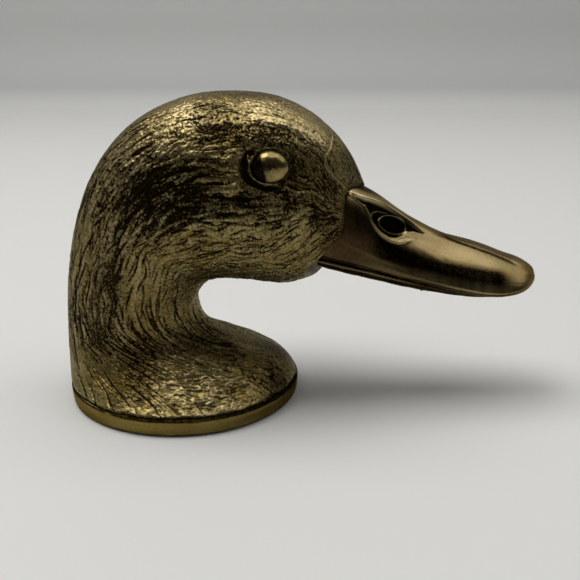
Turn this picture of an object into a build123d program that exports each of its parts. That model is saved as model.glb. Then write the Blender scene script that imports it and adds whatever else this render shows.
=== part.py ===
"""Antique-brass duck head ornament on a flat oval base.

A hollow cast head, neck and breast stands on an oval base plate.  The smooth bill is fitted to
the face in two pieces, the eyes are turned beads set into drilled seats, and the base plate closes
the hollow with countersunk screws and carries a felt pad.  Nothing on it moves.

Frame: millimetres, +Z up, +X towards the tip of the bill, +Y to the duck's left.
Origin: centre of the felt's resting face.
"""
from build123d import *
import math
import os

os.makedirs("parts", exist_ok=True)

# ------------------------------------------------------------------ driving dimensions
BASE_A = 29.9            # base plate, half length along X
BASE_B = 27.5            # base plate, half width along Y
SEAM_Z = 4.5             # height of the seam between base plate and casting
PLATE_Z = 0.3            # underside of the plate's rim, just clear of the table
RIM_ROUND = 0.9          # rounding of the plate's lower edge
SEAM_CHAMFER = 0.45      # chamfer on the plate's upper edge: one half of the seam groove
FELT_T = 1.1             # felt thickness
FELT_INSET = 2.6         # felt edge inside the plate's edge
EYE_X, EYE_Z = 23.4, 62.6
EYE_R = 4.2              # radius of the eye bead
EYE_SEAT_R = 4.4         # counterbore that the bead sits in
EYE_SEAT_Y = 15.6        # depth of the seat's floor from the middle plane
EYE_OUT_Y = 19.6         # crown of the bead from the middle plane
EYE_STEM_R = 1.5
EYE_STEM_L = 5.0
EYE_YAW = 8.0            # the eyes look a little forward, degrees
EYE_PITCH = 7.0          # and a little up, degrees
SCREW_R = 1.5            # M3 countersunk screws
SCREW_HEAD_R = 3.0
SCREW_HEAD_H = 1.7
SCREW_TIP_Z = 10.2
SCREW_AT = [(-21.5, 0.0), (7.0, 13.0), (7.0, -13.0)]
BOSS_R = 4.4
BOSS_TOP_Z = 16.0
GAP = 0.05               # working clearance of screws, tenons and stems

# Stations of the casting, from the base up the neck and forward to the face.  Each is a cross
# section lying across the neck: back (or crown) point, front (or chin) point, half width,
# egg-shape bias towards the back, and the exponent of the oval.
HEAD = [
    # xb     zb     xf     zf     W      k     n
    (-29.8,  4.5,  29.6,  4.5, 27.2,  0.00, 2.0),
    (-30.0,  6.5,  28.6,  6.5, 24.6,  0.00, 2.0),
    (-30.1,  9.0,  26.4,  9.0, 21.6,  0.02, 2.0),
    (-30.1, 11.5,  23.3, 11.3, 18.9,  0.04, 2.0),
    (-30.1, 13.8,  18.7, 13.4, 16.8,  0.06, 2.0),
    (-30.0, 15.8,  13.4, 15.2, 15.4,  0.07, 2.0),
    (-29.9, 18.0,   8.6, 17.2, 14.6,  0.07, 2.0),
    (-29.7, 21.0,   5.6, 20.3, 14.3,  0.06, 2.0),
    (-29.3, 25.3,   4.2, 24.2, 14.4,  0.04, 2.0),
    (-28.6, 31.5,   4.4, 27.2, 14.8,  0.03, 2.0),
    (-26.7, 41.0,   5.7, 29.6, 15.6,  0.02, 2.0),
    (-22.8, 53.0,   7.4, 31.1, 16.9,  0.00, 2.0),
    (-16.3, 63.9,   9.8, 32.0, 18.0, -0.03, 2.1),
    ( -7.2, 71.9,  13.0, 32.2, 19.0, -0.05, 2.2),
    (  4.0, 76.5,  17.0, 32.0, 19.5, -0.06, 2.25),
    ( 15.0, 77.5,  21.8, 31.5, 19.5, -0.06, 2.25),
    ( 25.2, 76.2,  26.2, 31.0, 18.6, -0.06, 2.25),
    ( 33.4, 72.3,  30.2, 31.4, 16.6, -0.06, 2.2),
    ( 39.5, 67.0,  33.4, 32.4, 14.2, -0.05, 2.15),
    ( 43.5, 61.7,  35.4, 34.0, 12.0, -0.03, 2.1),
    ( 45.7, 57.0,  36.6, 36.0, 10.2,  0.00, 2.1),
]
# Stations of the hollow inside it, in the same form.
HOLLOW = [
    (-25.6,  4.5,  24.6,  4.5, 22.4,  0.00, 2.0),
    (-26.3,  6.5,  22.4,  6.5, 20.2,  0.00, 2.0),
    (-26.6,  9.0,  17.4,  9.0, 17.4,  0.02, 2.0),
    (-26.7, 11.5,  11.0, 11.4, 15.0,  0.04, 2.0),
    (-26.7, 13.8,   6.4, 13.6, 13.1,  0.06, 2.0),
    (-26.6, 17.0,   3.6, 16.6, 11.9,  0.07, 2.0),
    (-26.4, 21.0,   2.0, 20.4, 11.3,  0.06, 2.0),
    (-26.0, 25.6,   1.0, 24.6, 11.2,  0.04, 2.0),
    (-25.2, 32.0,   1.0, 28.6, 11.5,  0.03, 2.0),
    (-23.2, 41.0,   2.4, 32.0, 12.4,  0.02, 2.0),
    (-19.4, 51.6,   4.4, 34.2, 13.4,  0.00, 2.0),
    (-13.4, 61.0,   7.2, 35.4, 14.2, -0.03, 2.1),
    ( -5.4, 68.2,  11.2, 35.8, 14.6, -0.05, 2.2),
    (  4.6, 72.6,  16.4, 35.8, 14.6, -0.06, 2.2),
    ( 15.0, 73.6,  21.2, 35.4, 14.2, -0.06, 2.2),
    ( 23.6, 72.4,  24.8, 35.2, 13.0, -0.06, 2.2),
]
# Stations of the upper bill forward of the face: ridge point, mouth-line point, half width.
UPPER_ROOT_W = 9.7
UPPER = [
    (49.6, 52.5, 43.6, 37.6, 10.3),
    (54.2, 49.1, 49.5, 35.9, 10.3),
    (59.2, 46.2, 55.6, 34.3, 10.6),
    (65.2, 43.2, 62.6, 32.6, 11.1),
    (71.6, 41.15, 69.6, 31.0, 11.5),
    (78.0, 39.1, 76.8, 29.85, 11.4),
    (82.6, 37.35, 82.0, 29.75, 10.4),
    (86.0, 36.2, 85.8, 30.25,  8.5),
    (88.4, 34.9, 88.3, 31.0,  5.7),
    (89.9, 33.6, 89.9, 31.6,  2.9),
]
# Half section of the upper bill, from the ridge down to the mouth line: share of the half width,
# share of the height.  Box-like at the root, a roof with a round shoulder from the nostrils on.
ROOF = [(0.0, 1.0), (0.13, 0.995), (0.25, 0.966), (0.40, 0.862), (0.53, 0.752), (0.66, 0.63), (0.80, 0.475), (0.93, 0.265), (1.0, 0.0)]
ROOF_FROM, ROOF_TO = 47.0, 60.0   # ridge positions between which the box turns into the roof
BOX_POWER = 2.6
# Stations of the lower bill forward of the face: mouth-line point, underside point, half width.
LOWER_ROOT_W = 8.7
LOWER = [
    (43.6, 37.7, 42.2, 33.6,  9.0),
    (49.5, 35.9, 48.4, 31.9,  9.3),
    (55.6, 34.3, 54.8, 30.5,  9.6),
    (62.6, 32.6, 62.1, 29.3,  9.8),
    (69.6, 31.0, 69.4, 28.3,  9.6),
    (76.8, 29.8, 76.8, 27.8,  8.6),
    (82.0, 29.6, 82.0, 28.1,  6.6),
    (85.4, 29.85, 85.4, 28.8,  3.4),
]
SECTION_POINTS = 28
DOME_POINTS = 15
TENON_L = 7.0            # bill tenons, into the face
UPPER_TENON = (0.53, 4.2, 5.2)    # share of the face height, half width, half height
LOWER_TENON = (0.085, 4.0, 1.0)
FACE_RIDGE, FACE_MOUTH = 0.935, 0.17   # where the bill's ridge and mouth line meet the face
MOUTH_GAP = 0.2          # dark line between the two bill pieces


def signed_power(v, e):
    return math.copysign(abs(v) ** e, v)


def oval_wire(st):
    """Closed spline of one casting station."""
    xb, zb, xf, zf, w, k, n = st
    e = 2.0 / n
    pts = []
    for i in range(SECTION_POINTS):
        t = 2 * math.pi * i / SECTION_POINTS
        c, s = signed_power(math.cos(t), e), signed_power(math.sin(t), e)
        pts.append(((xb + xf) / 2 + (xb - xf) / 2 * c, w * s * (1 + k * c),
                    (zb + zf) / 2 + (zb - zf) / 2 * c))
    return Wire([Spline(*pts, periodic=True)])


def dome_wire(top, flat, w):
    """Half oval from a flat edge at height 'flat' to a crest at 'top': spline plus straight base."""
    pts = []
    for i in range(DOME_POINTS):
        a = -math.pi / 2 + math.pi * i / (DOME_POINTS - 1)
        h = math.cos(a)
        pts.append((flat[0] + (top[0] - flat[0]) * h, w * math.sin(a), flat[1] + (top[1] - flat[1]) * h))
    pts[0] = (flat[0], -w, flat[1])
    pts[-1] = (flat[0], w, flat[1])
    return Wire([Spline(*pts), Line(pts[-1], pts[0])])


def bill_wire(top, flat, w):
    """Section of the upper bill over a flat mouth edge: spline plus straight base."""
    t = min(max((top[0] - ROOF_FROM) / (ROOF_TO - ROOF_FROM), 0.0), 1.0)
    half = []
    for i, (y, h) in enumerate(ROOF):
        a = math.pi / 2 * i / (len(ROOF) - 1)
        box = math.sin(a) ** (2 / BOX_POWER), max(math.cos(a), 0.0) ** (2 / BOX_POWER)
        half.append((box[0] * (1 - t) + y * t, box[1] * (1 - t) + h * t))
    half[0], half[-1] = (0.0, 1.0), (1.0, 0.0)
    pts = [(flat[0] + (top[0] - flat[0]) * h, -w * y, flat[1] + (top[1] - flat[1]) * h) for y, h in reversed(half)]
    pts += [(x, -y, z) for x, y, z in reversed(pts[:-1])]
    return Wire([Spline(*pts), Line(pts[-1], pts[0])])


def loft_solid(wires):
    made = Solid.make_loft(wires, False)
    if made.volume < 0:
        made = made.fix()
    return made


def oval_prism(a, b, z0, z1, x=0.0):
    return Pos(x, 0, z0) * extrude(Ellipse(a, b), z1 - z0)


# ------------------------------------------------------------------ casting
outer = loft_solid([oval_wire(s) for s in HEAD])
hollow = loft_solid([oval_wire(s) for s in HOLLOW])

face_b, face_f = HEAD[-1][:2], HEAD[-1][2:4]
up_x, up_z = face_b[0] - face_f[0], face_b[1] - face_f[1]
up_n = math.hypot(up_x, up_z)
FACE_OUT = Vector(up_z / up_n, 0, -up_x / up_n)


def on_face(share):
    """Point of the flat face, 'share' of the way from chin to forehead, in the middle plane."""
    return face_f[0] + up_x * share, face_f[1] + up_z * share


def tenon(share, a, b, grow=0.0, root=0.0):
    """Oval peg that runs back into the face from the point at 'share', and 'root' forward of it."""
    x, z = on_face(share)
    start = Vector(x, 0, z) - FACE_OUT * (TENON_L + grow)
    return extrude(Plane(origin=start, x_dir=(0, 1, 0), z_dir=FACE_OUT) * Ellipse(a + grow, b + grow),
                   TENON_L + grow + root)


def eye_plane(side):
    """Seat plane of an eye: looks out sideways, a little forward and up."""
    yaw, pitch = math.radians(EYE_YAW), math.radians(EYE_PITCH)
    out = Vector(math.sin(yaw), side * math.cos(yaw) * math.cos(pitch), math.sin(pitch)).normalized()
    return Plane(origin=(EYE_X, side * EYE_SEAT_Y, EYE_Z), z_dir=out)


def eye_seat(side):
    pl = eye_plane(side)
    bore = extrude(pl * Circle(EYE_SEAT_R), 12)
    stem = extrude(pl * Circle(EYE_STEM_R + GAP), -(EYE_STEM_L + 3))
    return bore + stem


bosses = [Pos(x, y, SEAM_Z) * extrude(Circle(BOSS_R), BOSS_TOP_Z - SEAM_Z) for x, y in SCREW_AT]
core = hollow
for b in bosses:
    core = core - b
shell = outer - core
for side in (1, -1):
    shell = shell - eye_seat(side)
shell = shell - tenon(*UPPER_TENON, grow=GAP) - tenon(*LOWER_TENON, grow=GAP)
for x, y in SCREW_AT:
    shell = shell - Pos(x, y, SEAM_Z) * extrude(Circle(SCREW_R + GAP), SCREW_TIP_Z + 0.4 - SEAM_Z)

# ------------------------------------------------------------------ bill
ridge, mouth, chin = on_face(FACE_RIDGE), on_face(FACE_MOUTH), on_face(0.0)
upper = loft_solid([bill_wire(ridge, mouth, UPPER_ROOT_W)]
                   + [bill_wire((s[0], s[1]), (s[2], s[3]), s[4]) for s in UPPER])
below = on_face(FACE_MOUTH - MOUTH_GAP / up_z)
lower = loft_solid([dome_wire(chin, below, LOWER_ROOT_W)]
                   + [dome_wire((s[2], s[3]), (s[0], s[1] - MOUTH_GAP), s[4]) for s in LOWER])
# nostrils: shallow oval hollows on both sides of the ridge
for side in (1, -1):
    seat = Plane(origin=(53.3, side * 5.85, 46.75), x_dir=(0.836, 0, -0.549), z_dir=(0.39, side * 0.70, 0.60))
    nostril = seat * scale(Sphere(1.0), by=(3.4, 2.1, 1.2))
    upper = upper - nostril
upper = upper + tenon(*UPPER_TENON, root=1.0)
lower = lower + tenon(*LOWER_TENON, root=1.0)

# ------------------------------------------------------------------ eyes
def eye(side):
    pl = eye_plane(side)
    rise = EYE_OUT_Y - EYE_SEAT_Y
    dome_r = (EYE_R ** 2 + rise ** 2) / (2 * rise)
    bead = extrude(pl * Circle(EYE_R), rise) & (pl * Pos(0, 0, rise - dome_r) * Sphere(dome_r))
    stem = extrude(pl * Circle(EYE_STEM_R), -EYE_STEM_L)
    return bead + stem


# ------------------------------------------------------------------ base plate, screws, felt
plate = oval_prism(BASE_A, BASE_B, PLATE_Z, SEAM_Z)
plate = fillet(plate.edges().group_by(Axis.Z)[0], RIM_ROUND)
plate = chamfer(plate.edges().group_by(Axis.Z)[-1], SEAM_CHAMFER)
plate = plate - oval_prism(BASE_A - FELT_INSET + 0.1, BASE_B - FELT_INSET + 0.1, PLATE_Z - 1, FELT_T)
felt = oval_prism(BASE_A - FELT_INSET, BASE_B - FELT_INSET, 0.0, FELT_T)

screw_solids = []
for x, y in SCREW_AT:
    sink = Pos(x, y, FELT_T + SCREW_HEAD_H / 2) * Cone(SCREW_HEAD_R + GAP, SCREW_R + GAP, SCREW_HEAD_H)
    plate = plate - sink - Pos(x, y, FELT_T) * extrude(Circle(SCREW_R + GAP), SEAM_Z)
    screw = Pos(x, y, FELT_T + SCREW_HEAD_H / 2) * Cone(SCREW_HEAD_R, SCREW_R, SCREW_HEAD_H)
    screw = screw + Pos(x, y, FELT_T) * extrude(Circle(SCREW_R), SCREW_TIP_Z - FELT_T)
    slot = Pos(x, y, FELT_T) * Box(2 * SCREW_HEAD_R + 1, 0.8, 1.6)
    screw_solids.append(screw - slot)

made = {
    "head_casting": shell,
    "upper_bill": upper,
    "lower_bill": lower,
    "right_eye": eye(-1),
    "left_eye": eye(1),
    "base_plate": plate,
    "base_screws": Compound(children=screw_solids),
    "felt_pad": felt,
}
for name, shape in made.items():
    export_step(shape, f"parts/{name}.step")
    print(name, "solids", len(shape.solids()), "volume", round(shape.volume, 1))
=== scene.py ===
"""Antique-brass duck head ornament: the finished surfaces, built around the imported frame.

Metres, +Z up, +X towards the tip of the bill.  The shape tables below are in millimetres.
"""
import bpy
import math
import numpy as np
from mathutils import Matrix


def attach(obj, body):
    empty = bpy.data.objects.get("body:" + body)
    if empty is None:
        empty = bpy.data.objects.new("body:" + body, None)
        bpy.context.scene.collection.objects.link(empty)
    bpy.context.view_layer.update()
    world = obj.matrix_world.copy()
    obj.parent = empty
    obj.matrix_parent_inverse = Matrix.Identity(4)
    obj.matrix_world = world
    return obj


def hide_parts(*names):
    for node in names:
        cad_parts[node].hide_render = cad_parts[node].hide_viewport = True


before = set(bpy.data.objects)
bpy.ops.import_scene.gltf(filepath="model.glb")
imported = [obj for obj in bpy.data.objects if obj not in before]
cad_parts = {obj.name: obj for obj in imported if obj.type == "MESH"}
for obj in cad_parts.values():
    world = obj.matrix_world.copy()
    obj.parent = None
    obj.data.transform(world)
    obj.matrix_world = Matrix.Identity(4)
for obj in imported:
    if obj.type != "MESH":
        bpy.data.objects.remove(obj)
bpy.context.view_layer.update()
MM = 0.001

# ------------------------------------------------------------------ camera
PITCH, FOCAL, DIST, LOOK_X, LOOK_Z = math.radians(20.0), 774.0, 200.0, 27.86, 27.45
cam_data = bpy.data.cameras.new("camera")
cam_data.sensor_fit = "HORIZONTAL"
cam_data.sensor_width = 36.0
cam_data.lens = 36.0 * FOCAL / 580.0
cam_data.clip_start = 0.005
cam = bpy.data.objects.new("camera", cam_data)
bpy.context.scene.collection.objects.link(cam)
cam.location = (LOOK_X * MM, -DIST * math.cos(PITCH) * MM, (LOOK_Z + DIST * math.sin(PITCH)) * MM)
cam.rotation_euler = (math.pi / 2 - PITCH, 0, 0)
bpy.context.scene.camera = cam


def picture(P):
    """Where points of the right-hand side fall in the reference view, the left side mirrored: x, y."""
    X, Y, Z = P[..., 0], -np.abs(P[..., 1]), P[..., 2]
    s, c = math.sin(PITCH), math.cos(PITCH)
    dep = DIST + Y * c - (Z - LOOK_Z) * s
    return 290 + FOCAL * (X - LOOK_X) / dep, 290 - FOCAL * (Y * s + (Z - LOOK_Z) * c) / dep


# ------------------------------------------------------------------ helpers
def cubic(x, y):
    """Natural cubic spline through rows of y at x."""
    x, y = np.asarray(x, float), np.asarray(y, float)
    n, h = len(x), np.diff(x)
    A, R = np.zeros((n, n)), np.zeros_like(y)
    A[0, 0] = A[-1, -1] = 1
    for i in range(1, n - 1):
        A[i, i - 1], A[i, i], A[i, i + 1] = h[i - 1], 2 * (h[i - 1] + h[i]), h[i]
        R[i] = 6 * ((y[i + 1] - y[i]) / h[i] - (y[i] - y[i - 1]) / h[i - 1])
    M = np.linalg.solve(A, R)

    def at(t):
        t = np.asarray(t, float)
        i = np.clip(np.searchsorted(x, t) - 1, 0, n - 2)
        d, hh = (t - x[i])[..., None], h[i][..., None]
        a, b = (M[i + 1] - M[i]) / (6 * hh), M[i] / 2
        c = (y[i + 1] - y[i]) / hh - hh * (2 * M[i] + M[i + 1]) / 6
        return y[i] + d * (c + d * (b + d * a))
    return at


def smooth(a, b, x):
    t = np.clip((x - a) / (b - a), 0, 1)
    return t * t * (3 - 2 * t)


def spow(v, e):
    return np.sign(v) * np.abs(v) ** e


def blur(a, sr, sc):
    """Gaussian blur: rows reflected, columns wrapped."""
    n = a.shape[0]
    b = np.concatenate([a, a[::-1]], 0)
    fr, fc = np.fft.fftfreq(2 * n)[:, None], np.fft.fftfreq(a.shape[1])[None, :]
    g = np.exp(-2 * np.pi ** 2 * ((fr * sr) ** 2 + (fc * sc) ** 2))
    return np.fft.ifft2(np.fft.fft2(b) * g).real[:n]


def grain(rng, shape, sr, sc):
    a = blur(rng.standard_normal(shape), sr, sc)
    return a / a.std()


def to_line(px, py, pts):
    """Distance of picture points to a polyline, and how far along it the nearest point is (0 to 1)."""
    pts = np.asarray(pts, float)
    seg = np.hypot(*np.diff(pts, axis=0).T)
    run = np.r_[0, np.cumsum(seg)]
    best = np.full(px.shape, 1e9)
    along = np.zeros(px.shape)
    for k in range(len(seg)):
        ax, ay = pts[k]
        dx, dy = (pts[k + 1] - pts[k]) / seg[k]
        t = np.clip((px - ax) * dx + (py - ay) * dy, 0, seg[k])
        d = np.hypot(px - ax - t * dx, py - ay - t * dy)
        hit = d < best
        best = np.where(hit, d, best)
        along = np.where(hit, (run[k] + t) / run[-1], along)
    return best, along


def grid_normals(P):
    du = np.gradient(P, axis=0)
    dv = (np.roll(P, -1, 1) - np.roll(P, 1, 1)) / 2
    n = np.cross(du, dv)
    ln = np.linalg.norm(n, axis=2, keepdims=True)
    n = n / np.maximum(ln, 1e-12)
    mid = P.mean(1, keepdims=True)
    return n * np.sign(((P - mid) * n).sum(2).mean())


def grid_object(name, P, attrs=None, cap_start=True, cap_end=True):
    """Closed mesh of a grid of points (rows, around), in millimetres, with its ends capped."""
    nu, nv = P.shape[:2]
    co = [P.reshape(-1, 3)]
    i, j = np.meshgrid(np.arange(nu - 1), np.arange(nv), indexing="ij")
    k = (j + 1) % nv
    quads = np.stack([i * nv + j, i * nv + k, (i + 1) * nv + k, (i + 1) * nv + j], -1).reshape(-1, 4)
    u0, u1 = j / nv, (j + 1) / nv
    v0, v1 = i / (nu - 1) * 0.93, (i + 1) / (nu - 1) * 0.93
    quv = np.stack([np.stack([u0, v0], -1), np.stack([u1, v0], -1), np.stack([u1, v1], -1),
                    np.stack([u0, v1], -1)], -2).reshape(-1, 4, 2)
    tris, tuv = [], []
    extra = nu * nv
    for which, row, sign, cx in ((cap_start, 0, 1, 0.05), (cap_end, nu - 1, -1, 0.15)):
        if not which:
            continue
        co.append(P[row].mean(0)[None])
        a = np.arange(nv)
        b = (a + 1) % nv
        ang_a, ang_b = a / nv * 2 * np.pi, (a + 1) / nv * 2 * np.pi
        ca = np.stack([cx + 0.03 * np.cos(ang_a), 0.966 + 0.03 * np.sin(ang_a)], -1)
        cb = np.stack([cx + 0.03 * np.cos(ang_b), 0.966 + 0.03 * np.sin(ang_b)], -1)
        cc = np.broadcast_to([cx, 0.966], ca.shape)
        c = np.full(nv, extra)
        if sign > 0:
            tris.append(np.stack([row * nv + b, row * nv + a, c], -1))
            tuv.append(np.stack([cb, ca, cc], 1))
        else:
            tris.append(np.stack([row * nv + a, row * nv + b, c], -1))
            tuv.append(np.stack([ca, cb, cc], 1))
        extra += 1
    co = np.concatenate(co, 0)
    tris = np.concatenate(tris, 0) if tris else np.zeros((0, 3), int)
    tuv = np.concatenate(tuv, 0) if len(tuv) else np.zeros((0, 3, 2))
    # outward: signed volume of the closed mesh
    q = co[quads]
    t = co[tris]
    vol = np.einsum("ij,ij->i", q[:, 0], np.cross(q[:, 1], q[:, 2])).sum() \
        + np.einsum("ij,ij->i", q[:, 0], np.cross(q[:, 2], q[:, 3])).sum() \
        + (np.einsum("ij,ij->i", t[:, 0], np.cross(t[:, 1], t[:, 2])).sum() if len(t) else 0)
    if vol < 0:
        quads, quv, tris, tuv = quads[:, ::-1], quv[:, ::-1], tris[:, ::-1], tuv[:, ::-1]
    me = bpy.data.meshes.new(name)
    me.vertices.add(len(co))
    me.vertices.foreach_set("co", (co * MM).astype(np.float32).ravel())
    loops = np.concatenate([quads.ravel(), tris.ravel()]).astype(np.int32)
    me.loops.add(len(loops))
    me.loops.foreach_set("vertex_index", loops)
    start = np.concatenate([np.arange(len(quads)) * 4, len(quads) * 4 + np.arange(len(tris)) * 3]).astype(np.int32)
    me.polygons.add(len(start))
    me.polygons.foreach_set("loop_start", start)
    me.update(calc_edges=True)
    me.polygons.foreach_set("use_smooth", np.ones(len(start), dtype=bool))
    uv = me.uv_layers.new(name="OFBake")
    uv.data.foreach_set("uv", np.concatenate([quv.reshape(-1, 2), tuv.reshape(-1, 2)], 0).astype(np.float32).ravel())
    for key, a in (attrs or {}).items():
        full = np.zeros(len(co), np.float32)
        full[:nu * nv] = np.asarray(a, np.float32).ravel()
        at = me.attributes.new(key, "FLOAT", "POINT")
        at.data.foreach_set("value", full)
    me.update()
    ob = bpy.data.objects.new(name, me)
    bpy.context.scene.collection.objects.link(ob)
    return ob


# ------------------------------------------------------------------ the casting: mean surface
HEAD = np.array([
    # xb     zb     xf     zf     W      k     n
    (-29.8,  4.5,  29.6,  4.5, 27.2,  0.00, 2.0),
    (-30.0,  6.5,  28.6,  6.5, 24.6,  0.00, 2.0),
    (-30.1,  9.0,  26.4,  9.0, 21.6,  0.02, 2.0),
    (-30.1, 11.5,  23.3, 11.3, 18.9,  0.04, 2.0),
    (-30.1, 13.8,  18.7, 13.4, 16.8,  0.06, 2.0),
    (-30.0, 15.8,  13.4, 15.2, 15.4,  0.07, 2.0),
    (-29.9, 18.0,   8.6, 17.2, 14.6,  0.07, 2.0),
    (-29.7, 21.0,   5.6, 20.3, 14.3,  0.06, 2.0),
    (-29.3, 25.3,   4.2, 24.2, 14.4,  0.04, 2.0),
    (-28.6, 31.5,   4.4, 27.2, 14.8,  0.03, 2.0),
    (-26.7, 41.0,   5.7, 29.6, 15.6,  0.02, 2.0),
    (-22.8, 53.0,   7.4, 31.1, 16.9,  0.00, 2.0),
    (-16.3, 63.9,   9.8, 32.0, 18.0, -0.03, 2.1),
    ( -7.2, 71.9,  13.0, 32.2, 19.0, -0.05, 2.2),
    (  4.0, 76.5,  17.0, 32.0, 19.5, -0.06, 2.25),
    ( 15.0, 77.5,  21.8, 31.5, 19.5, -0.06, 2.25),
    ( 25.2, 76.2,  26.2, 31.0, 18.6, -0.06, 2.25),
    ( 33.4, 72.3,  30.2, 31.4, 16.6, -0.06, 2.2),
    ( 39.5, 67.0,  33.4, 32.4, 14.2, -0.05, 2.15),
    ( 43.5, 61.7,  35.4, 34.0, 12.0, -0.03, 2.1),
    ( 45.7, 57.0,  36.6, 36.0, 10.2,  0.00, 2.1),
])
# ------------------------------------------------------------------ the bill: mean surface
UP = np.array([
    # xt    zt     xm    zm     W
    (40.2, 58.0, 33.6, 40.4, 11.0),
    (42.8, 56.5, 36.0, 39.6, 11.0),
    (45.2, 55.1, 38.6, 38.8, 10.8),
    (49.6, 52.5, 43.6, 37.5, 10.45),
    (54.2, 49.1, 49.5, 35.9, 10.3),
    (59.2, 46.2, 55.6, 34.3, 10.6),
    (65.2, 43.2, 62.6, 32.6, 11.1),
    (71.6, 41.15, 69.6, 31.0, 11.5),
    (78.0, 39.1, 76.8, 29.85, 11.4),
    (82.6, 37.35, 82.0, 29.75, 10.4),
    (86.0, 36.2, 85.8, 30.25, 8.5),
    (88.4, 34.9, 88.3, 31.0, 5.7),
    (89.75, 33.7, 89.75, 31.6, 2.9),
    (90.15, 32.6, 90.15, 32.1, 0.7),
])
# cross section beyond the nostrils: a narrow ridge, a flat slope, a round shoulder and a steep side
ROOF = np.array([(0, 1.0), (0.12, 0.996), (0.23, 0.975), (0.50, 0.775), (0.76, 0.54), (0.93, 0.28), (1.0, 0.0)])
# and near the tip, where the slope is rounder
SPOON = np.array([(0, 1.0), (0.14, 0.995), (0.27, 0.956), (0.40, 0.870), (0.55, 0.748), (0.70, 0.598), (0.82, 0.440), (0.92, 0.262), (1.0, 0.0)])
BU, BTOP, BBOT = 460, 301, 59
BV = BTOP + BBOT
bstep = np.sqrt((np.diff(UP, axis=0) ** 2).sum(1))
bk = np.r_[0, np.cumsum(bstep ** 0.6)]
bk /= bk[-1]
up_at = cubic(bk, UP)
fu = np.linspace(0, 1, 2000)
pp = up_at(fu)
br = np.r_[0, np.cumsum(np.sqrt((np.diff(pp, axis=0) ** 2).sum(1)))]
bu = np.interp(np.linspace(0, br[-1], BU), br, fu)
pp = up_at(bu)
xt, zt, xm, zm, bw = (pp[:, m][:, None] for m in range(5))
share = np.linspace(-1, 1, BTOP)


def section(table):
    chord = np.r_[0, np.cumsum(np.hypot(*np.diff(table, axis=0).T))]
    return cubic(chord / chord[-1], table)(np.abs(share))


to_tip = smooth(62.0, 76.0, xt)[..., None]
roof = section(ROOF) * (1 - to_tip) + section(SPOON) * to_tip
boxy = np.stack([np.sin(np.abs(share) * np.pi / 2) ** (2 / 2.6), np.cos(share * np.pi / 2).clip(0) ** (2 / 2.6)], -1)
to_roof = smooth(47.0, 60.0, xt)
round_under = np.linspace(0, np.pi, BBOT + 2)[1:-1]
side_y = np.concatenate([np.sign(share) * (boxy[:, 0] * (1 - to_roof) + roof[..., 0] * to_roof) * (1 - 0.035 * smooth(0.92, 1.0, np.abs(share)) ** 2),
                         np.broadcast_to(spow(np.cos(round_under), 0.8), (BU, BBOT))], 1)
rise = np.concatenate([boxy[:, 1] * (1 - to_roof) + roof[..., 1] * to_roof, np.zeros((BU, BBOT))], 1)
sag = np.concatenate([np.zeros((BU, BTOP)), np.broadcast_to(np.sin(round_under), (BU, BBOT))], 1)
under = np.minimum(0.55, 0.4 * np.hypot(xt - xm, zt - zm))
B0 = np.stack([xm + (xt - xm) * rise, bw * side_y, zm + (zt - zm) * rise - under * sag], -1)
BN = grid_normals(B0)
bx, by = picture(B0)
onside = np.concatenate([np.ones((BU, BTOP)), np.zeros((BU, BBOT))], 1)
bshape = (BU, BV)

# ------------------------------------------------------------------ the casting: mean surface as a grid
NU, NV = 960, 720
step = np.sqrt((np.diff(HEAD[:, :5], axis=0) ** 2).sum(1))
KNOT = np.r_[0, np.cumsum(np.sqrt(step))]
KNOT /= KNOT[-1]
head_at = cubic(KNOT, HEAD)


def head_points(u, th):
    p = head_at(u)
    xb, zb, xf, zf, w, k, n = (p[..., m] for m in range(7))
    e = 2.0 / n
    c, s = spow(np.cos(th), e), spow(np.sin(th), e)
    return np.stack([(xb + xf) / 2 + (xb - xf) / 2 * c, w * s * (1 + k * c),
                     (zb + zf) / 2 + (zb - zf) / 2 * c], -1)


# rows evenly spaced along the mean of the back, side and front lines
fine_u = np.linspace(0, 1, 4000)
run = np.zeros(len(fine_u))
for ang, part in ((0.0, 0.45), (math.pi / 2, 0.4), (math.pi, 0.15)):
    q = head_points(fine_u, np.full_like(fine_u, ang))
    run[1:] += part * np.cumsum(np.linalg.norm(np.diff(q, axis=0), axis=1))
row_u = np.interp(np.linspace(0, run[-1], NU), run, fine_u)
th = np.linspace(0, 2 * np.pi, NV, endpoint=False)
around = np.minimum(th, 2 * np.pi - th)              # 0 at the crown, pi at the chin
deg = np.degrees(around)
# the feathers end further back beside the forehead than on it
notch = np.interp(deg, [0, 12, 26, 40, 55, 72, 90, 110, 130, 150, 180], [0.0, 0.0, 0.15, 0.7, 1.05, 1.0, 0.85, 0.7, 0.5, 0.25, 0.0])
notch = blur(np.repeat(notch[None], 2, 0), 1, 9)[0]
last = KNOT[-1] - KNOT[-2]
U = row_u[:, None] - notch[None, :] * last * smooth(KNOT[-5], 1.0, row_u)[:, None]
TH = np.broadcast_to(th, (NU, NV))
P0 = head_points(U, TH)
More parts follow.
